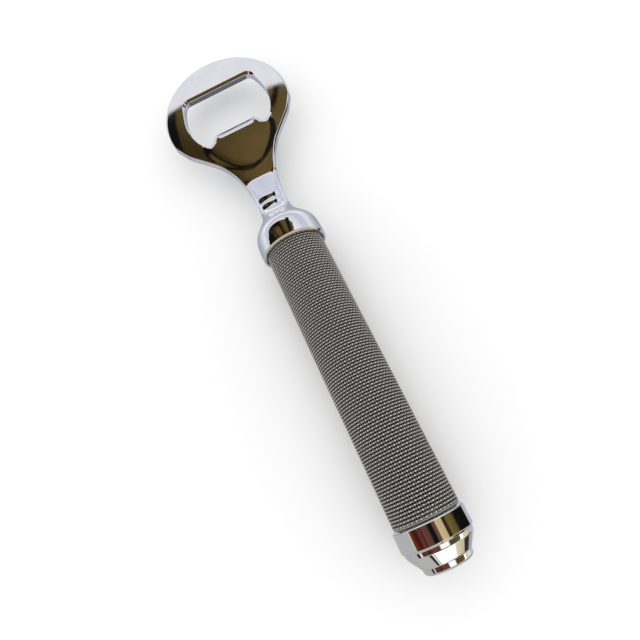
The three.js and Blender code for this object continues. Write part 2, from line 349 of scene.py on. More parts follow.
head = {
    "ringLong": 22.5, "ringWide": 22.0, "shoulderAngle": 76,
    "shoulder": [(10.8, 18.3), (14.8, 14.8), (19.4, 10.8), (23.0, 8.55), (26.5, 6.95), (30.5, 5.75),
                 (34.6, 5.05), (38.5, 4.6), (41.5, 4.55), (44.2, 4.85)],
    "slot": [(10.3, 8.9), (11.0, 10.2), (10.2, 11.6), (7.7, 13.3), (3.6, 14.6), (-0.8, 14.9), (-5.4, 14.2),
             (-8.9, 13.1), (-10.4, 12.1), (-10.9, 10.9)],
    "slotLip": -10.9, "toothTip": 7.7, "toothHalf": 6.9, "toothCorner": (8.4, 7.8),
    "toothEdge": 0.95, "toothSlope": 0.47,
    "pad": [(4.0, 0.0), (4.0, 6.0), (8.0, 10.6), (12.2, 11.7), (15.5, 11.1), (18.8, 9.4), (22.4, 6.6),
            (25.0, 3.4), (26.0, 0.0)],
    "padRise": 0.24, "padSlope": 3.0,
    "plateHalf": 1.5, "edgeRound": 0.55, "pillow": 0.022, "pillowReach": 4.5,
    "lipChamfer": 0.78, "lobeChamfer": 0.34, "farLobeChamfer": 0.2,
    # how steeply the neck thickens towards the collar, degrees at each station
    "neckRise": [(30.4, 0), (31.4, 12.5), (39.0, 12.5), (39.6, 3), (40.9, 3), (41.5, 18), (41.9, 18),
                 (42.4, 3), (43.5, 3), (44.2, 14)],
    # from a squarish section at the plate to a round one at the collar
    "neckStations": [24, 30.5, 34, 37.5, 40.5, 43, 44.2], "neckPowers": [6.5, 4.5, 3.6, 2.6, 2.3, 2.1, 2.0],
    "neckStart": (29.5, 31.5), "neckStraight": (33.0, 36.5), "foot": 42.9,
    "spacing": 0.45, "edgeRows": (0.03, 0.1, 0.2, 0.32, 0.46, 0.6, 0.75), "slotRows": (0.04, 1.1, 1.3, 1.5),
    "chamferRows": ((0.5, 0.0), (1.0, 0.0), (1.0, 0.07)), "lipRows": (0.2, 0.55), "sharp": 38,
}


def smoothCurve(points, spacing):
    # Catmull-Rom curve through the points, resampled evenly
    before = 2 * np.array(points[0]) - points[1]
    after = 2 * np.array(points[-1]) - points[-2]
    pts = np.array([before, *points, after], float)
    dense = []
    for i in range(1, len(pts) - 2):
        t = np.linspace(0, 1, 24, endpoint=False)[:, None]
        p0, p1, p2, p3 = pts[i - 1:i + 3]
        dense.append(0.5 * (2 * p1 + (p2 - p0) * t + (2 * p0 - 5 * p1 + 4 * p2 - p3) * t**2
                            + (3 * p1 - p0 - 3 * p2 + p3) * t**3))
    dense = np.vstack(dense + [pts[-2:-1]])
    return resample(dense, spacing)


def resample(line, spacing):
    step = np.r_[0, np.cumsum(np.hypot(*np.diff(line, axis=0).T))]
    count = max(2, round(step[-1] / spacing) + 1)
    at = np.linspace(0, step[-1], count)
    return np.c_[np.interp(at, step, line[:, 0]), np.interp(at, step, line[:, 1])]


def mirroredLoop(half):
    # closed outline from a half that starts and ends on, or either side of, the centre line
    other = half[::-1] * (1, -1)
    if abs(half[0][1]) < 1e-9:
        other = other[:-1]
    if abs(half[-1][1]) < 1e-9:
        other = other[1:]
    return np.vstack([half, other])


def headOutline():
    angles = np.radians(np.linspace(180, head["shoulderAngle"], 90))
    arc = np.c_[head["ringLong"] * np.cos(angles), head["ringWide"] * np.sin(angles)]
    shoulder = smoothCurve([tuple(arc[-1]), *head["shoulder"]], head["spacing"])
    foot = resample(np.array([head["shoulder"][-1], (head["shoulder"][-1][0], 0.0)]), head["spacing"])
    return mirroredLoop(np.vstack([resample(arc, head["spacing"]), shoulder[1:], foot[1:]]))


def slotOutline():
    lobe = smoothCurve(head["slot"], head["spacing"])
    tip, half = head["toothTip"], head["toothHalf"]
    front = resample(np.array([(tip, 0.0), (tip, half), head["toothCorner"]]), head["spacing"])
    flank = resample(np.array([head["toothCorner"], head["slot"][0]]), head["spacing"])
    lip = resample(np.array([head["slot"][-1], (head["slotLip"], 0.0)]), head["spacing"])
    return mirroredLoop(np.vstack([front, flank[1:-1], lobe, lip[1:]]))


def padOutline():
    back = smoothCurve(head["pad"], 0.3)
    return mirroredLoop(back)


def distanceTo(points, loop):
    # shortest distance from each point to a closed outline
    start, end = loop, np.roll(loop, -1, axis=0)
    along = end - start
    length = (along**2).sum(1)
    best = np.full(len(points), 1e9)
    for i in range(0, len(points), 2000):
        chunk = points[i:i + 2000, None, :] - start[None]
        t = np.clip((chunk * along[None]).sum(2) / length, 0, 1)
        gap = chunk - t[..., None] * along[None]
        best[i:i + 2000] = np.sqrt((gap**2).sum(2)).min(1)
    return best


def inside(points, loop):
    x, y = points[:, 0:1], points[:, 1:2]
    x0, y0 = loop.T
    x1, y1 = np.roll(loop, -1, axis=0).T
    crosses = (y0 > y) != (y1 > y)
    with np.errstate(divide="ignore", invalid="ignore"):
        hit = x < (x1 - x0) * (y - y0) / (y1 - y0) + x0
    return (crosses & hit).sum(1) % 2 == 1


def smoothMin(a, b, blend):
    h = np.maximum(blend - np.abs(a - b), 0) / blend
    return np.minimum(a, b) - h * h * blend / 4


def easeBetween(value, low, high):
    t = np.clip((value - low) / (high - low), 0, 1)
    return t * t * (3 - 2 * t)


def eased(x, stations, values):
    # a smooth line through the values, level at its start
    stations, values = np.array(stations, float), np.array(values, float)
    slope = np.gradient(values, stations)
    slope[0] = 0
    i = np.clip(np.searchsorted(stations, x) - 1, 0, len(stations) - 2)
    gap = stations[i + 1] - stations[i]
    t = np.clip((x - stations[i]) / gap, 0, 1)
    return ((2 * t**3 - 3 * t**2 + 1) * values[i] + (t**3 - 2 * t**2 + t) * gap * slope[i]
            + (3 * t**2 - 2 * t**3) * values[i + 1] + (t**3 - t**2) * gap * slope[i + 1])


def neckSection(x):
    stations = np.linspace(20, 44.4, 489)
    places, angles = np.array(head["neckRise"], float).T
    slopes = np.tan(np.radians(np.interp(stations, places, angles)))
    heights = head["plateHalf"] + np.r_[0, np.cumsum((slopes[1:] + slopes[:-1]) / 2 * np.diff(stations))]
    return np.interp(x, stations, heights), eased(x, head["neckStations"], head["neckPowers"])


def slotCut(x, y):
    # width of the slot's upper chamfer, broad along the lip and barely broken on one side
    lobe = head["lobeChamfer"] + (head["farLobeChamfer"] - head["lobeChamfer"]) * easeBetween(y, 0.0, 7.0)
    return lobe + (head["lipChamfer"] - lobe) * easeBetween(-x, 6.0, 10.2)


def headHeight(points, outline, slot, pad, upper):
    # from the middle plane to the forging's upper or lower face at each point of its plan
    x, y = points.T
    fromEdge, fromSlot = distanceTo(points, outline), distanceTo(points, slot)
    signed = distanceTo(points, pad) * np.where(inside(points, pad), 1, -1)
    half = 0.5 * head["padSlope"]
    flat = head["plateHalf"] + head["padRise"] * easeBetween(signed, -half, half)
    flat = flat - head["pillow"] * np.maximum(1 - fromEdge / head["pillowReach"], 0)**2
    r = head["edgeRound"]
    edge = flat - r + np.sqrt(np.maximum(r * r - np.maximum(r - fromEdge, 0)**2, 0))
    plate = np.where(fromEdge < r, np.minimum(flat, edge), flat)
    cut = slotCut(x, y) if upper else head["lobeChamfer"]
    chamfer = head["plateHalf"] - cut + fromSlot - 0.06 * np.maximum(1 - fromSlot / 0.1, 0)**2
    plate = np.minimum(plate, chamfer)
    # the tooth is ground down towards its tip
    slant = head["toothEdge"] + head["toothSlope"] * (x - head["toothTip"])
    slant = slant + 1.6 * np.maximum(np.abs(y) - head["toothHalf"] + 0.5, 0) + 4 * np.maximum(x - 12, 0)
    slant = np.where(x > 0, slant, 9.0)
    plate = smoothMin(plate, slant, 0.12)
    side = outline[(outline[:, 1] > 5.0) & (outline[:, 0] > head["shoulder"][0][0])]
    side = side[np.argsort(side[:, 0])]
    wide = np.interp(x, side[:, 0], side[:, 1])
    half, power = neckSection(x)
    # measured from the outline where it slants and across the neck where it runs straight
    reach = np.clip(1 - fromEdge / np.maximum(wide, 1e-6), 0, 1)
    straight = easeBetween(x, *head["neckStraight"])
    reach = reach * (1 - straight) + np.clip(np.abs(y) / wide, 0, 1) * straight
    neck = half * (1 - reach**power) ** (1 / power)
    share = easeBetween(x, *head["neckStart"])
    return plate * (1 - share) + neck * share


def inset(loop, distance, side):
    # the outline moved sideways, mitred at its corners
    ahead, behind = np.roll(loop, -1, axis=0), np.roll(loop, 1, axis=0)
    t1, t2 = loop - behind, ahead - loop
    t1 /= np.hypot(*t1.T)[:, None]
    t2 /= np.hypot(*t2.T)[:, None]
    n1, n2 = np.c_[-t1[:, 1], t1[:, 0]], np.c_[-t2[:, 1], t2[:, 0]]
    mitre = n1 + n2
    mitre /= np.maximum((mitre * n1).sum(1), 0.35)[:, None]
    return loop + side * distance * mitre


def turning(loop):
    # 1 for an outline that runs anticlockwise, -1 for one that doesn't
    return np.sign((loop[:, 0] * np.roll(loop[:, 1], -1) - np.roll(loop[:, 0], -1) * loop[:, 1]).sum())


def planRows(outline, slot, pad):
    # rows of points along each outline, closest together where the surface bends
    outSide, slotSide, padSide = turning(outline), -turning(slot), turning(pad)
    rows = [(inset(outline, d, outSide), outline, d) for d in head["edgeRows"]]
    rows += [(inset(slot, d, slotSide), slot, d) for d in head["slotRows"]]
    crease = slotCut(*slot.T)
    for _ in range(3):
        crease = slotCut(*inset(slot, crease[:, None], slotSide).T)
    for share, extra in head["chamferRows"]:
        along = share * crease + extra
        rows.append((inset(slot, along[:, None], slotSide), slot, along))
    rows.append((inset(outline, 1.1, outSide), outline, 1.1))
    kept = [row[distanceTo(row, loop) > d * 0.93] for row, loop, d in rows]
    for d in head["lipRows"]:
        row = inset(slot, d, slotSide)
        kept.append(row[slotCut(*row.T) > d + 0.1])
    kept = [row[(row[:, 0] < head["foot"]) | (np.abs(row[:, 1]) > 4.0)] for row in kept]
    for d in np.arange(-0.8, 0.85, 0.2):
        row = inset(pad, d, padSide)
        kept.append(row[distanceTo(row, slot) > 0.55])
    return kept


def planPoints(outline, slot, pad):
    # the outlines first, then the rows, a coarse grid over the ring and a finer one over the neck
    low, high = outline.min(0), outline.max(0)
    gx, gy = np.meshgrid(np.arange(low[0], 30, 0.9), np.arange(low[1], high[1], 0.9))
    coarse = np.c_[gx.ravel(), gy.ravel()]
    clear = (distanceTo(coarse, slot) > slotCut(*coarse.T) + 0.45) & (distanceTo(coarse, outline) > 0.95)
    gx, gy = np.meshgrid(np.arange(25, 44.1, 0.4), np.linspace(-0.985, 0.985, 41))
    widths = np.array(head["shoulder"])
    wide = np.interp(gx, widths[:, 0], widths[:, 1])
    fine = np.c_[gx.ravel(), (np.sin(gy * math.pi / 2) * wide).ravel()]
    points = np.vstack([*planRows(outline, slot, pad), coarse[clear], fine])
    points = points[inside(points, outline) & ~inside(points, slot)]
    points = points[(distanceTo(points, outline) > 0.02) & (distanceTo(points, slot) > 0.035)]
    points = np.vstack([outline, slot, points])
    # near-duplicates dropped, the outlines kept
    _, first = np.unique(np.round(points / 0.02).astype(int), axis=0, return_index=True)
    chosen = np.sort(np.union1d(np.arange(len(outline) + len(slot)), first))
    return points[chosen]


def planTriangles(outline, slot, pad):
    points = planPoints(outline, slot, pad)
    nOut, nSlot = len(outline), len(slot)
    edges = [(i, (i + 1) % nOut) for i in range(nOut)]
    edges += [(nOut + i, nOut + (i + 1) % nSlot) for i in range(nSlot)]
    made = delaunay_2d_cdt([Vector(p) for p in points], edges, [], 0, 1e-5)
    plan = np.array([tuple(v) for v in made[0]])
    triangles = np.array([f for f in made[2] if len(f) == 3])
    centres = plan[triangles].mean(1)
    triangles = triangles[inside(centres, outline) & ~inside(centres, slot)]
    a, b, c = plan[triangles[:, 0]], plan[triangles[:, 1]], plan[triangles[:, 2]]
    turn = (b[:, 0] - a[:, 0]) * (c[:, 1] - a[:, 1]) - (b[:, 1] - a[:, 1]) * (c[:, 0] - a[:, 0])
    triangles[turn < 0] = triangles[turn < 0][:, ::-1]
    return plan, triangles


def openEdges(triangles):
    # the edges that only one triangle uses
    used = {}
    for t in triangles:
        for i in range(3):
            used[(int(t[i]), int(t[(i + 1) % 3]))] = True
    return [edge for edge in used if edge[::-1] not in used]


def forgeHead():
    outline, slot, pad = headOutline(), slotOutline(), padOutline()
    plan, triangles = planTriangles(outline, slot, pad)
    height = headHeight(plan, outline, slot, pad, True)
    depth = headHeight(plan, outline, slot, pad, False)
    origin = np.array([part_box("opener_head")[0].x / mm + head["ringLong"], 0, axisHeight / mm])
    top = (np.c_[plan, height] + origin) * mm
    under = (np.c_[plan, -depth] + origin) * mm
    n = len(plan)
    verts = [*map(tuple, top), *map(tuple, under)]
    faces = [tuple(t) for t in triangles] + [tuple(n + t[::-1]) for t in triangles]
    columns = {}

    def column(i):
        # a wall's points from the upper face to the lower, with one close to each end
        if i in columns:
            return columns[i]
        h, low = height[i], depth[i]
        lift = min(0.1, 0.25 * h)
        ids = [i]
        if h > 0.05:
            for z in (h - lift, 0.0, lift - low):
                ids.append(len(verts))
                verts.append(tuple((np.array([*plan[i], z]) + origin) * mm))
        ids.append(n + i)
        columns[i] = ids
        return ids

    for i, j in openEdges(triangles):
        left, right = column(i), column(j)
        if len(left) == len(right):
            for k in range(len(left) - 1):
                faces.append((left[k], left[k + 1], right[k + 1], right[k]))
        else:
            faces.append((*left, *right[::-1]))
    obj = addPiece("openerHead", verts, faces, "opener_head", "handle",
                   headChrome, head["sharp"])
    weld(obj, 0.004 * mm)
    obj.data.shade_smooth()
    obj.data.set_sharp_from_angle(angle=math.radians(head["sharp"]))
    print("head forged:", len(obj.data.polygons), "faces")


forgeHead()


collar = {
    "flare": [(0.12, 5.0), (1.4, 5.3), (2.7, 5.95), (4.1, 7.0), (5.6, 8.2), (7.0, 9.2), (8.1, 9.7),
              (9.4, 9.98), (11.5, 10.13), (13.5, 10.18)],
    "rim": [(14.35, 10.17, 0.08), (14.76, 9.71, 0.05)],
    "bore": [(14.76, 9.3, 0.06), (9.0, 9.3, 0.1), (9.0, 4.3, 0.1), (0.0, 4.3, 0.15), (0.0, 4.85, 0.1)],
    "sides": 240,
}


def turnCollar():
    flare = smoothCurve(collar["flare"], 0.28)
    inner = rounded([(*flare[-1], 0), *collar["rim"], *collar["bore"], (*flare[0], 0)], False, 4)
    points = [tuple(p) for p in flare] + inner[1:-1]
    verts, faces = lathe(points, True, collar["sides"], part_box("collar")[0].x)
    addPiece("collarShell", verts, faces, "collar", "handle", turnedChrome, 30)


turnCollar()
print("collar turned")


cap = {
    "outside": [(0.0, 8.0, 0.05), (0.0, 9.25, 0.08), (0.2, 9.45, 0.15), (4.8, 9.45, 0.22), (5.25, 9.04, 0.1),
                (6.35, 8.8, 0.7), (9.3, 6.75, 0.12), (9.5, 6.56, 0.1), (10.7, 6.38, 0.3), (11.1, 5.95, 0.25),
                (11.1, 0.0, 0)],
    "inside": [(9.1, 0.0, 0), (9.1, 4.5, 0.2), (1.2, 4.5, 0.15), (1.2, 8.0, 0.15), (0.0, 8.0, 0)],
    "sides": 240,
}


def turnCap():
    start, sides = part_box("end_cap")[0].x, cap["sides"]
    verts, faces = lathe(rounded(cap["outside"], False, 6), False, sides, start)
    count = len(verts)
    innerVerts, innerFaces = lathe(rounded(cap["inside"], False, 3), False, sides, start)
    verts += innerVerts
    faces += [tuple(v + count for v in f) for f in innerFaces]
    weld(addPiece("endCap", verts, faces, "end_cap", "cap", turnedChrome, 30))


turnCap()
print("end cap turned")


weave = {
    "start": gripLow.x / mm + 0.35, "end": gripHigh.x / mm + 0.2,
    "rows": 101, "warps": 88, "radius": 8.55,
    "weftWire": 0.23, "weftCrimp": 0.17, "warpWire": 0.15, "warpCrimp": 0.25,
}


def newTree(name, inputs):
    tree = bpy.data.node_groups.new(name, "GeometryNodeTree")
    for label, kind, value in inputs:
        tree.interface.new_socket(name=label, in_out="INPUT", socket_type=kind).default_value = value
    tree.interface.new_socket(name="Geometry", in_out="OUTPUT", socket_type="NodeSocketGeometry")
    return tree, tree.nodes.new("NodeGroupInput").outputs, tree.nodes.new("NodeGroupOutput")


def bakeTree(name, tree, values):
    # the tree's result as one plain mesh
    holder = bpy.data.objects.new(name + "Source", bpy.data.meshes.new(name + "Source"))
    bpy.context.scene.collection.objects.link(holder)
    modifier = holder.modifiers.new("shape", "NODES")
    modifier.node_group = tree
    for item in tree.interface.items_tree:
        if item.in_out == "INPUT" and item.name in values:
            modifier[item.identifier] = values[item.name]
    bpy.context.view_layer.update()
    evaluated = holder.evaluated_get(bpy.context.evaluated_depsgraph_get())
    mesh = bpy.data.meshes.new_from_object(evaluated)
    holder.modifiers.clear()
    bpy.data.objects.remove(holder)
    obj = bpy.data.objects.new(name, mesh)
    bpy.context.scene.collection.objects.link(obj)
    return obj


def makeWireTree(name, around):
    # woven wires about the X axis, rings or lengthwise, each waving in and out over its neighbours
    tree, given, result = newTree(name, [
        ("Start", "NodeSocketFloat", 0.0), ("Pitch", "NodeSocketFloat", 0.001), ("Rows", "NodeSocketInt", 10),
        ("Warps", "NodeSocketInt", 8), ("Radius", "NodeSocketFloat", 0.01), ("Crimp", "NodeSocketFloat", 0.0),
        ("Wire", "NodeSocketFloat", 0.001), ("Axis Height", "NodeSocketFloat", 0.0),
        ("Wire Sides", "NodeSocketInt", 5)])
    def maths(operation, *values):
        return mathNode(tree, operation, *values)

    def make(kind, values=None, settings=None):
        return addNode(tree, kind, settings, values).outputs[0]

    if around:
        line = make("GeometryNodeMeshLine", {
            "Count": given["Rows"], "Offset": make("ShaderNodeCombineXYZ", {"X": given["Pitch"]}),
            "Start Location": make("ShaderNodeCombineXYZ", {"X": given["Start"]})}, {"mode": "OFFSET"})
        wire = make("GeometryNodeCurvePrimitiveCircle", {
            "Resolution": maths("MULTIPLY", given["Warps"], 2), "Radius": given["Radius"]})
        stand = make("GeometryNodeInstanceOnPoints", {
            "Points": line, "Instance": wire, "Rotation": (0, math.pi / 2, 0)})
    else:
        line = make("GeometryNodeMeshCircle", {"Vertices": given["Warps"], "Radius": given["Radius"]},
                    {"fill_type": "NONE"})
        turn = make("GeometryNodeTransform", {"Geometry": line, "Rotation": (math.pi / 2, 0, math.pi / 2)})
        begin = maths("SUBTRACT", given["Start"], maths("MULTIPLY", given["Pitch"], 0.5))
        finish = maths("ADD", begin, maths("MULTIPLY", given["Rows"], given["Pitch"]))
        wire = make("GeometryNodeCurvePrimitiveLine", {
            "Start": make("ShaderNodeCombineXYZ", {"X": begin}),
            "End": make("ShaderNodeCombineXYZ", {"X": finish})})
        count = maths("ADD", maths("MULTIPLY", given["Rows"], 2), 1)
        dense = make("GeometryNodeResampleCurve", {"Curve": wire, "Count": count})
        stand = make("GeometryNodeInstanceOnPoints", {"Points": turn, "Instance": dense})
    split = addNode(tree, "ShaderNodeSeparateXYZ", None, {0: make("GeometryNodeInputPosition")}).outputs
    angle = maths("ARCTAN2", split["Z"], split["Y"])
    row = maths("DIVIDE", maths("SUBTRACT", split["X"], given["Start"]), given["Pitch"])
    column = maths("DIVIDE", maths("MULTIPLY", angle, given["Warps"]), 2 * math.pi)
    wave = maths("COSINE", maths("MULTIPLY", maths("ADD", row, column), math.pi))
    radius = maths("ADD", given["Radius"], maths("MULTIPLY", wave, given["Crimp"]))
    lift = maths("MULTIPLY", radius, maths("SINE", angle))
    put = make("ShaderNodeCombineXYZ", {
        "X": split["X"], "Y": maths("MULTIPLY", radius, maths("COSINE", angle)),
        "Z": maths("ADD", lift, given["Axis Height"])})
    loose = make("GeometryNodeRealizeInstances", {0: stand})
    shape = make("GeometryNodeSetPosition", {"Geometry": loose, "Position": put})
    section = make("GeometryNodeCurvePrimitiveCircle", {
        "Resolution": given["Wire Sides"], "Radius": given["Wire"]})
    sweep = make("GeometryNodeCurveToMesh", {
        "Curve": shape, "Profile Curve": section, "Fill Caps": not around})
    real = make("GeometryNodeRealizeInstances", {0: sweep})
    dress = make("GeometryNodeSetMaterial", {
        "Geometry": real, "Material": wovenWire if around else crossWire})
    tree.links.new(dress, result.inputs[0])
    return tree


def weaveGrip():
    pitch = (weave["end"] - weave["start"]) / (weave["rows"] - 1)
    shared = {"Start": weave["start"] * mm, "Pitch": pitch * mm, "Rows": weave["rows"],
              "Warps": weave["warps"], "Radius": weave["radius"] * mm, "Axis Height": axisHeight}
    for name, around, crimp, wire, sides in (
        ("weftWires", True, weave["weftCrimp"], weave["weftWire"], 5),
        ("warpWires", False, -weave["warpCrimp"], weave["warpWire"], 4),
    ):
        values = {**shared, "Crimp": crimp * mm, "Wire": wire * mm, "Wire Sides": sides}
        obj = bakeTree(name, makeWireTree(name, around), values)
        finishPiece(obj, "mesh_sleeve", "handle", wovenWire if around else crossWire, 180)
        print(name, len(obj.data.polygons), "faces")


weaveGrip()


edgeWire = {"radius": 8.5, "wire": 0.28, "wireSides": 12, "sides": 140}


def bindEdge(name, node):
    # the single wire that finishes each end of the woven sleeve
    low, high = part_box(node)
    middle, wire, count = (low.x + high.x) / 2 / mm, edgeWire["wire"], edgeWire["wireSides"]
    turns = [2 * math.pi * k / count for k in range(count)]
    points = [(middle + wire * math.cos(a), edgeWire["radius"] + wire * math.sin(a)) for a in turns[::-1]]
    verts, faces = lathe(points, True, edgeWire["sides"], 0.0)
    addPiece(name, verts, faces, node, "handle", wovenWire, 180)


bindEdge("upperEdgeWire", "upper_selvage_ring")
bindEdge("lowerEdgeWire", "lower_selvage_ring")


def tube(length, outer, inner, fillet):
    # section of a plain tube or washer
    return [(0.0, inner, fillet), (0.0, outer, fillet), (length, outer, fillet), (length, inner, fillet)]


def nutSection(length, across, bore):
    # hexagon with turned chamfers at both ends, countersunk bore
    corner = across / math.sqrt(3)
    rise = [(0.12 * k, across / 2 * 0.96 + (corner - across / 2 * 0.96) * k / 4, 0.0) for k in range(5)]
    fall = [(length - x, r, 0.0) for x, r, _ in rise[::-1]]
    return [(0.0, bore + 0.35, 0.03), *rise, *fall, (length, bore + 0.35, 0.03), (length - 0.35, bore, 0.03),
            (0.35, bore, 0.03)]


bush = {
    "section": [(0.0, 2.8, 0.15), (0.0, 6.2, 0.5), (16.0, 6.2, 0.15), (16.0, 7.8, 0.25), (18.0, 7.8, 0.25),
                (18.0, 5.2, 0.2), (8.0, 5.2, 0.3), (8.0, 2.8, 0.15)],
}
insert = {
    "section": [(0.0, 2.8, 0.2), (0.0, 4.2, 0.3), (2.0, 4.2, 0.1), (2.15, 3.95, 0.08), (2.75, 3.95, 0.08),
                (2.9, 4.2, 0.1), (4.7, 4.2, 0.1), (4.85, 3.95, 0.08), (5.45, 3.95, 0.08), (5.6, 4.2, 0.1),
                (7.6, 4.2, 0.3), (7.6, 2.8, 0.2)],
}
springWasher = {"section": tube(1.2, 4.4, 2.8, 0.1), "gap": 0.12}

turnedPiece("collarGasketRing", "collar_gasket", "handle", blackRubber,
            tube(1.0, 9.0, 4.6, 0.3))
turnedPiece("coreTube", "core_tube", "handle", plainSteel, tube(81.3, 7.2, 6.5, 0.15), 120)
turnedPiece("tubeLiner", "tube_liner", "handle", blackRubber, tube(81.3, 7.8, 7.5, 0.08), 120)
turnedPiece("lowerBush", "lower_bush", "handle", zincPlate, bush["section"])
turnedPiece("flatWasher", "lower_flat_washer", "handle", zincPlate, tube(1.0, 4.9, 2.8, 0.12))
turnedPiece("thrustWasher", "thrust_washer", "cap_carriage", whiteNylon,
            tube(1.0, 7.7, 3.0, 0.2))
turnedPiece("threadInsert", "thread_insert", "cap", insertBrass, insert["section"], 120)
for end in ("upper", "lower"):
    turnedPiece(end + "LockNut", end + "_lock_nut", "handle", zincPlate,
                nutSection(4.0, 8.0, 2.8), 96, 8.0)
    turnedPiece(end + "SpringWasher", end + "_spring_washer", "handle", zincPlate,
                springWasher["section"], 96, None, springWasher["gap"])

rod = {
    "radius": 2.5, "depth": 0.28, "pitch": 0.8, "threads": [(0.0, 15.0), (60.0, 82.3)], "runOut": 0.8,
    "chamfer": 0.6, "sides": 32, "plainStep": 1.5,
}


def threadShare(x, length):
    # 1 along a thread, fading to 0 where it runs out into the shank
    share = 0.0
    for first, last in rod["threads"]:
        into = rod["runOut"] if first == 0 else x - first
        left = rod["runOut"] if last >= length else last - x
        share = max(share, min(into, left, rod["runOut"]) / rod["runOut"])
    return share


def threadRod():
    # rolled thread at both ends of the tie rod, plain shank between
    low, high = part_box("tie_rod")
    length = (high.x - low.x) / mm
    stations = [0.0]
    while stations[-1] < length - 1e-6:
        x = stations[-1]
        threaded = any(first - 1e-6 <= x < last for first, last in rod["threads"])
        stations.append(min(x + (rod["pitch"] / 8 if threaded else rod["plainStep"]), length))
    verts, faces = [], []
    sides = rod["sides"]
    for x in stations:
        depth = rod["depth"] * threadShare(x, length)
        tip = rod["radius"] - max(rod["chamfer"] - x, rod["chamfer"] - (length - x), 0)
        for i in range(sides):
            phase = (x / rod["pitch"] - i / sides) % 1
            groove = 1 - abs(2 * phase - 1)
            r = min(rod["radius"] - depth * groove, tip)
            angle = 2 * math.pi * i / sides
            verts.append((low.x + x * mm, r * mm * math.cos(angle), axisHeight + r * mm * math.sin(angle)))
    for k in range(len(stations) - 1):
        for i in range(sides):
            j = (i + 1) % sides
            faces.append((k * sides + i, k * sides + j, (k + 1) * sides + j, (k + 1) * sides + i))
    faces.append(tuple(range(sides))[::-1])
    faces.append(tuple(range((len(stations) - 1) * sides, len(stations) * sides)))
    weld(addPiece("tieRod", verts, faces, "tie_rod", "handle", plainSteel))


threadRod()
print("inner pieces turned")


def paintNode(name, material):
    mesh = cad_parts[name].data
    mesh.materials.clear()
    mesh.materials.append(material)


finishes = {
    "collar_gasket": blackRubber, "tube_liner": blackRubber, "thrust_washer": whiteNylon,
    "thread_insert": insertBrass, "upper_spring_washer": zincPlate, "upper_lock_nut": zincPlate,
    "lower_flat_washer": zincPlate, "lower_spring_washer": zincPlate, "lower_lock_nut": zincPlate,
    "head_pin": plainSteel, "upper_bush": zincPlate, "lower_bush": zincPlate, "core_tube": plainSteel,
    "tie_rod": plainSteel, "upper_selvage_ring": wovenWire, "lower_selvage_ring": wovenWire,
    "mesh_sleeve": wovenWire, "opener_head": headChrome, "collar": turnedChrome, "end_cap": turnedChrome,
}
for nodeName, material in finishes.items():
    paintNode(nodeName, material)


studio = {"floorSize": 3.0, "floorColour": (0.93, 0.93, 0.93), "daylight": 1.12}


def layFloor():
    half = studio["floorSize"] / 2
    mesh = bpy.data.meshes.new("studioFloor")
    corners = [(-half, -half, 0), (half, -half, 0), (half, half, 0), (-half, half, 0)]
    mesh.from_pydata(corners, [], [(0, 1, 2, 3)])
    floor = bpy.data.objects.new("studioFloor", mesh)
    bpy.context.scene.collection.objects.link(floor)
    material, tree, shader = newMaterial("paleFloor", {"Roughness": 0.9, "Specular IOR Level": 0.0})
    shader.inputs["Base Color"].default_value = (*studio["floorColour"], 1)
    mesh.materials.append(material)
    floor.visible_glossy = False


black = (0.007, 0.006, 0.005)
slateGrey = (0.13, 0.14, 0.17)
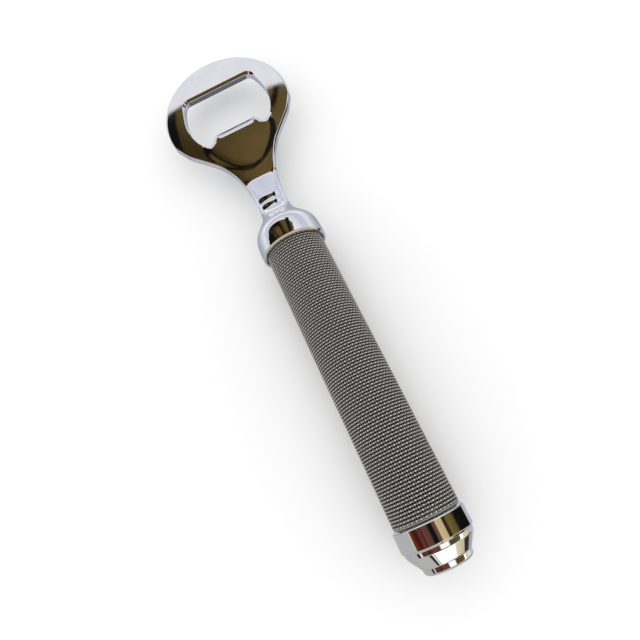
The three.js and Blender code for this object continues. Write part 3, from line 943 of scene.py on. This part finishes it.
# what polished metal sees, as colours along a turn or a height that both run from 0 to 1
room = {
    "wood": [
        (0.368, black), (0.376, (0.085, 0.055, 0.020)), (0.386, black), (0.396, (0.12, 0.07, 0.024)),
        (0.445, (0.10, 0.062, 0.022)), (0.452, black), (0.464, black), (0.471, (0.104, 0.068, 0.023)),
        (0.53, (0.11, 0.074, 0.026)), (0.542, (0.05, 0.034, 0.014)), (0.555, (0.12, 0.082, 0.030)),
        (0.61, (0.13, 0.095, 0.032))],
    "cloth": [(0.38, (0.28, 0.26, 0.25)), (0.5, (0.9, 0.9, 0.9)), (0.62, (1.25, 1.22, 1.2))],
    "rafters": (0.014, 0.010, 0.006),
    "walls": [
        (0.0, (0.40, 0.42, 0.48)), (0.20, (0.40, 0.42, 0.49)), (0.34, (0.56, 0.58, 0.65)),
        (0.45, (0.78, 0.80, 0.86)), (0.515, (0.84, 0.86, 0.91)), (0.55, (0.78, 0.80, 0.87)),
        (0.59, (0.64, 0.66, 0.75)), (0.72, (0.63, 0.65, 0.76)), (0.79, (0.80, 0.80, 0.84)),
        (0.84, (0.87, 0.87, 0.89))],
    "farWindows": [(0.45, (0, 0, 0)), (0.5, (1, 1, 1)), (0.55, (1, 1, 1)), (0.6, (0, 0, 0))],
    "doorway": (0.012, 0.010, 0.008),
    "bands": [
        (0.291, (0.50, 0.50, 0.485)), (0.297, (0.85, 0.80, 0.52)), (0.304, (0.10, 0.085, 0.02)),
        (0.318, (0.10, 0.05, 0.012)), (0.33, (0.13, 0.012, 0.008)), (0.36, (0.055, 0.008, 0.007)),
        (0.395, (0.15, 0.05, 0.035)), (0.405, (0.03, 0.004, 0.003)), (0.418, (0.15, 0.055, 0.04)),
        (0.462, (0.12, 0.045, 0.038)), (0.474, black), (0.503, black), (0.51, (0.13, 0.06, 0.055)),
        (0.535, (0.15, 0.08, 0.07)), (0.543, (0.68, 0.53, 0.28)), (0.592, (0.62, 0.47, 0.23)),
        (0.600, (0.04, 0.015, 0.008)), (0.622, (0.05, 0.025, 0.01)), (0.634, (0.18, 0.13, 0.038)),
        (0.69, (0.12, 0.09, 0.028)), (0.715, black), (0.85, black), (0.865, (0.52, 0.52, 0.60))],
    "window": [
        (0.0, (0.40, 0.41, 0.46)), (0.13, (0.50, 0.50, 0.47)), (0.248, (0.50, 0.50, 0.47)),
        (0.256, (0.02, 0.025, 0.022)), (0.282, (0.03, 0.03, 0.03)), (0.290, (1.3, 1.3, 1.25)),
        (0.297, (1.3, 1.3, 1.25)), (0.303, (0.30, 0.10, 0.07)), (0.313, (0.33, 0.12, 0.08)),
        (0.319, (1.6, 1.6, 1.58)), (0.72, (1.6, 1.6, 1.58)), (0.74, (0.80, 0.72, 0.54)),
        (0.825, (0.62, 0.54, 0.38)), (0.833, (0.03, 0.028, 0.02)), (0.883, (0.06, 0.05, 0.035)),
        (0.893, (0.42, 0.43, 0.50))],
    "blind": (0.58, 0.50, 0.33),
    # cloth to the left, lit wall in the middle, wood to the right
    "lintel": [
        (0.0, (0.40, 0.40, 0.40)), (0.30, (0.42, 0.42, 0.40)), (0.316, (0.06, 0.02, 0.015)),
        (0.35, (0.14, 0.045, 0.03)), (0.38, (0.05, 0.015, 0.012)), (0.42, (0.16, 0.055, 0.04)),
        (0.485, (0.12, 0.045, 0.03)), (0.50, (1.2, 1.18, 1.1)), (0.572, (1.2, 1.18, 1.1)),
        (0.588, (0.09, 0.055, 0.02)), (0.70, (0.14, 0.10, 0.035)), (0.80, (0.05, 0.035, 0.015)),
        (0.845, (0.03, 0.02, 0.012)), (0.86, (0.45, 0.45, 0.50))],
    "deepWood": (0.10, 0.066, 0.024),
    "beam": [(0.19, (0, 0, 0)), (0.22, (1, 1, 1)), (0.31, (1, 1, 1)), (0.36, (0, 0, 0))],
    "beamLight": [
        (0.28, (0.47, 0.47, 0.46)), (0.33, (1.0, 1.0, 0.97)), (0.80, (1.0, 1.0, 0.97)),
        (0.86, (0.55, 0.56, 0.60))],
}
# planes that part the room: normal, softness, and how far towards the normal
edges = {
    "streakTop": ((0.0, 0.0, 1.0), 0.006, 0.728), "cornerSide": ((-0.169, -0.936, -0.307), 0.003),
    "cornerFar": ((-1.0, 0.0, 0.0), 0.03, 0.62), "farWindows": ((-1.0, 0.0, 0.0), 0.03, 0.675),
    "slate": ((0.735, 0.0, -0.678), 0.025, 0.95), "canopyFront": ((0.6727, -0.2063, 0.7106), 0.006),
    "canopySide": ((0.0, 0.2756, 0.9613), 0.01), "canopyWedge": ((0.602, 0.799, 0.0), 0.008),
    "doorStart": ((0.27, 0.963, 0.0), 0.015), "doorEnd": ((0.469, 0.883, 0.0), 0.015),
    "doorSill": ((0.0, 0.0, 1.0), 0.02, 0.62), "blindSide": ((-0.793, 0.0, 0.610), 0.015, -0.610),
    "blindSill": ((0.0, 0.0, 1.0), 0.03, -0.12), "blindFar": ((1.0, 0.0, 0.0), 0.02, 0.57),
    "overhead": ((-0.5, 0.0, 0.866), 0.02),
}


def softStep(tree, value, low, high):
    # 0 below, 1 above, eased between
    return addNode(tree, "ShaderNodeMapRange", {"interpolation_type": "SMOOTHSTEP"},
                   {"Value": value, "From Min": low, "From Max": high}).outputs[0]


def pastEdge(tree, direction, name):
    # 1 on the side of a named plane that its normal points to
    normal, softness, offset = (*edges[name], 0.0)[:3]
    dot = addNode(tree, "ShaderNodeVectorMath", {"operation": "DOT_PRODUCT"}, {0: direction, 1: normal})
    return softStep(tree, dot.outputs["Value"], offset - softness, offset + softness)


def product(tree, *masks):
    result = masks[0]
    for mask in masks[1:]:
        result = mathNode(tree, "MULTIPLY", result, mask)
    return result


def opposite(tree, mask):
    return mathNode(tree, "SUBTRACT", 1.0, mask)


def paintCanopy(tree, direction, parts, folds, wobble):
    # dark wood and folded cloth over the head, with one black joint and a black far corner
    x, y, z = parts
    azimuth = mathNode(tree, "ARCTAN2", y, mathNode(tree, "MULTIPLY", x, -1.0))
    around = mathNode(tree, "ADD", mathNode(tree, "MULTIPLY_ADD", azimuth, 0.5 / math.pi, 0.5), wobble)
    wood, cloth = ramp(tree, around, room["wood"]), ramp(tree, folds, room["cloth"])
    canopy = mixColours(tree, 0.8, wood, cloth, "MULTIPLY")
    high = addNode(tree, "ShaderNodeMapRange", None, {"Value": z, "From Min": 0.84, "From Max": 0.9})
    canopy = mixColours(tree, high.outputs[0], canopy, room["rafters"])
    streak = addNode(tree, "ShaderNodeVectorMath", {"operation": "DOT_PRODUCT"},
                     {0: direction, 1: (0.562, 0.688, 0.460)})
    off = mathNode(tree, "DIVIDE", mathNode(tree, "ABSOLUTE", streak.outputs["Value"]), 0.0055)
    near = mathNode(tree, "SUBTRACT", 1.6, off, clamp=True)
    near = product(tree, near, opposite(tree, pastEdge(tree, direction, "streakTop")))
    canopy = mixColours(tree, near, canopy, black)
    corner = product(tree, pastEdge(tree, direction, "cornerSide"), pastEdge(tree, direction, "cornerFar"))
    return mixColours(tree, corner, canopy, black)


def paintHeadSide(tree, direction, parts, canopy, slate):
    # a pale room with far windows low down, the canopy over it and a dark doorway to the right
    height = mathNode(tree, "MULTIPLY_ADD", parts[2], 0.5, 0.5)
    base = ramp(tree, height, room["walls"])
    far = product(tree, ramp(tree, height, room["farWindows"]), pastEdge(tree, direction, "farWindows"))
    base = mixColours(tree, far, base, (1.0, 1.0, 1.0))
    base = mixColours(tree, slate, base, slateGrey)
    mask = product(tree, pastEdge(tree, direction, "canopyFront"), pastEdge(tree, direction, "canopySide"),
                   opposite(tree, pastEdge(tree, direction, "canopyWedge")))
    side = mixColours(tree, mask, base, canopy)
    doorway = product(tree, pastEdge(tree, direction, "doorStart"),
                      opposite(tree, pastEdge(tree, direction, "doorEnd")),
                      pastEdge(tree, direction, "doorSill"))
    return mixColours(tree, doorway, side, room["doorway"])


def paintEndSide(tree, direction, parts, across):
    # a bright window beyond the handle's end, half behind a blind, under its lintel
    window = ramp(tree, across, room["window"])
    blind = product(tree, pastEdge(tree, direction, "blindSide"), pastEdge(tree, direction, "blindSill"),
                    pastEdge(tree, direction, "blindFar"))
    window = mixColours(tree, blind, window, room["blind"])
    lintel = ramp(tree, across, room["lintel"])
    lintel = mixColours(tree, softStep(tree, parts[0], 0.58, 0.61), lintel, room["deepWood"])
    return mixColours(tree, pastEdge(tree, direction, "overhead"), window, lintel)


def lightRoom():
    # white daylight for the floor, and the painted room for whatever polished metal reflects
    world = bpy.data.worlds.new("studioRoom")
    bpy.context.scene.world = world
    world.use_nodes = True
    tree = world.node_tree
    tree.nodes.clear()
    direction = addNode(tree, "ShaderNodeTexCoord").outputs["Generated"]
    parts = tuple(addNode(tree, "ShaderNodeSeparateXYZ", None, {0: direction}).outputs)
    x, y, z = parts
    folds = addNoise(tree, direction, {"Scale": 5.0, "Detail": 2.0, "Roughness": 0.5, "Distortion": 0.4})
    wobble = mathNode(tree, "MULTIPLY_ADD", folds, 0.009, -0.0045)
    turn = mathNode(tree, "MULTIPLY_ADD", mathNode(tree, "ARCTAN2", y, z), 0.5 / math.pi, 0.5)
    across = mathNode(tree, "ADD", turn, wobble)

    slate = pastEdge(tree, direction, "slate")
    canopy = paintCanopy(tree, direction, parts, folds, wobble)
    headSide = paintHeadSide(tree, direction, parts, canopy, slate)
    reach = softStep(tree, x, 0.22, 0.30)
    endSide = paintEndSide(tree, direction, parts, across)
    middle = mixColours(tree, reach, ramp(tree, across, room["bands"]), endSide)
    # the ceiling beam in daylight, between the bands and the lintel
    beam = ramp(tree, x, room["beam"])
    middle = mixColours(tree, beam, middle, ramp(tree, across, room["beamLight"]))
    reflected = mixColours(tree, softStep(tree, x, -0.28, -0.18), headSide, middle)
    reflected = mixColours(tree, product(tree, slate, reach), reflected, slateGrey)

    day = studio["daylight"]
    isGlossy = addNode(tree, "ShaderNodeLightPath").outputs["Is Glossy Ray"]
    shown = mixColours(tree, isGlossy, (day, day, day), reflected)
    background = addNode(tree, "ShaderNodeBackground", None, {"Color": shown})
    addNode(tree, "ShaderNodeOutputWorld", None, {"Surface": background.outputs[0]})


layFloor()
lightRoom()


view = {"lens": 27.28, "sensor": 36, "clip": (0.005, 20), "turn": (17.5706, 9.5233, 65.5338),
        "place": (65.0, 0.0, 130.17)}


def setCamera():
    data = bpy.data.cameras.new("benchCamera")
    data.lens = view["lens"]
    data.sensor_width = view["sensor"]
    data.clip_start, data.clip_end = view["clip"]
    camera = bpy.data.objects.new("benchCamera", data)
    camera.rotation_euler = [math.radians(a) for a in view["turn"]]
    x, y, above = view["place"]
    camera.location = (x * mm, y * mm, axisHeight + above * mm)
    bpy.context.scene.collection.objects.link(camera)
    bpy.context.scene.camera = camera


setCamera()
bpy.context.scene.view_settings.view_transform = "Standard"
bpy.context.scene.view_settings.look = "None"
print("scene ready")
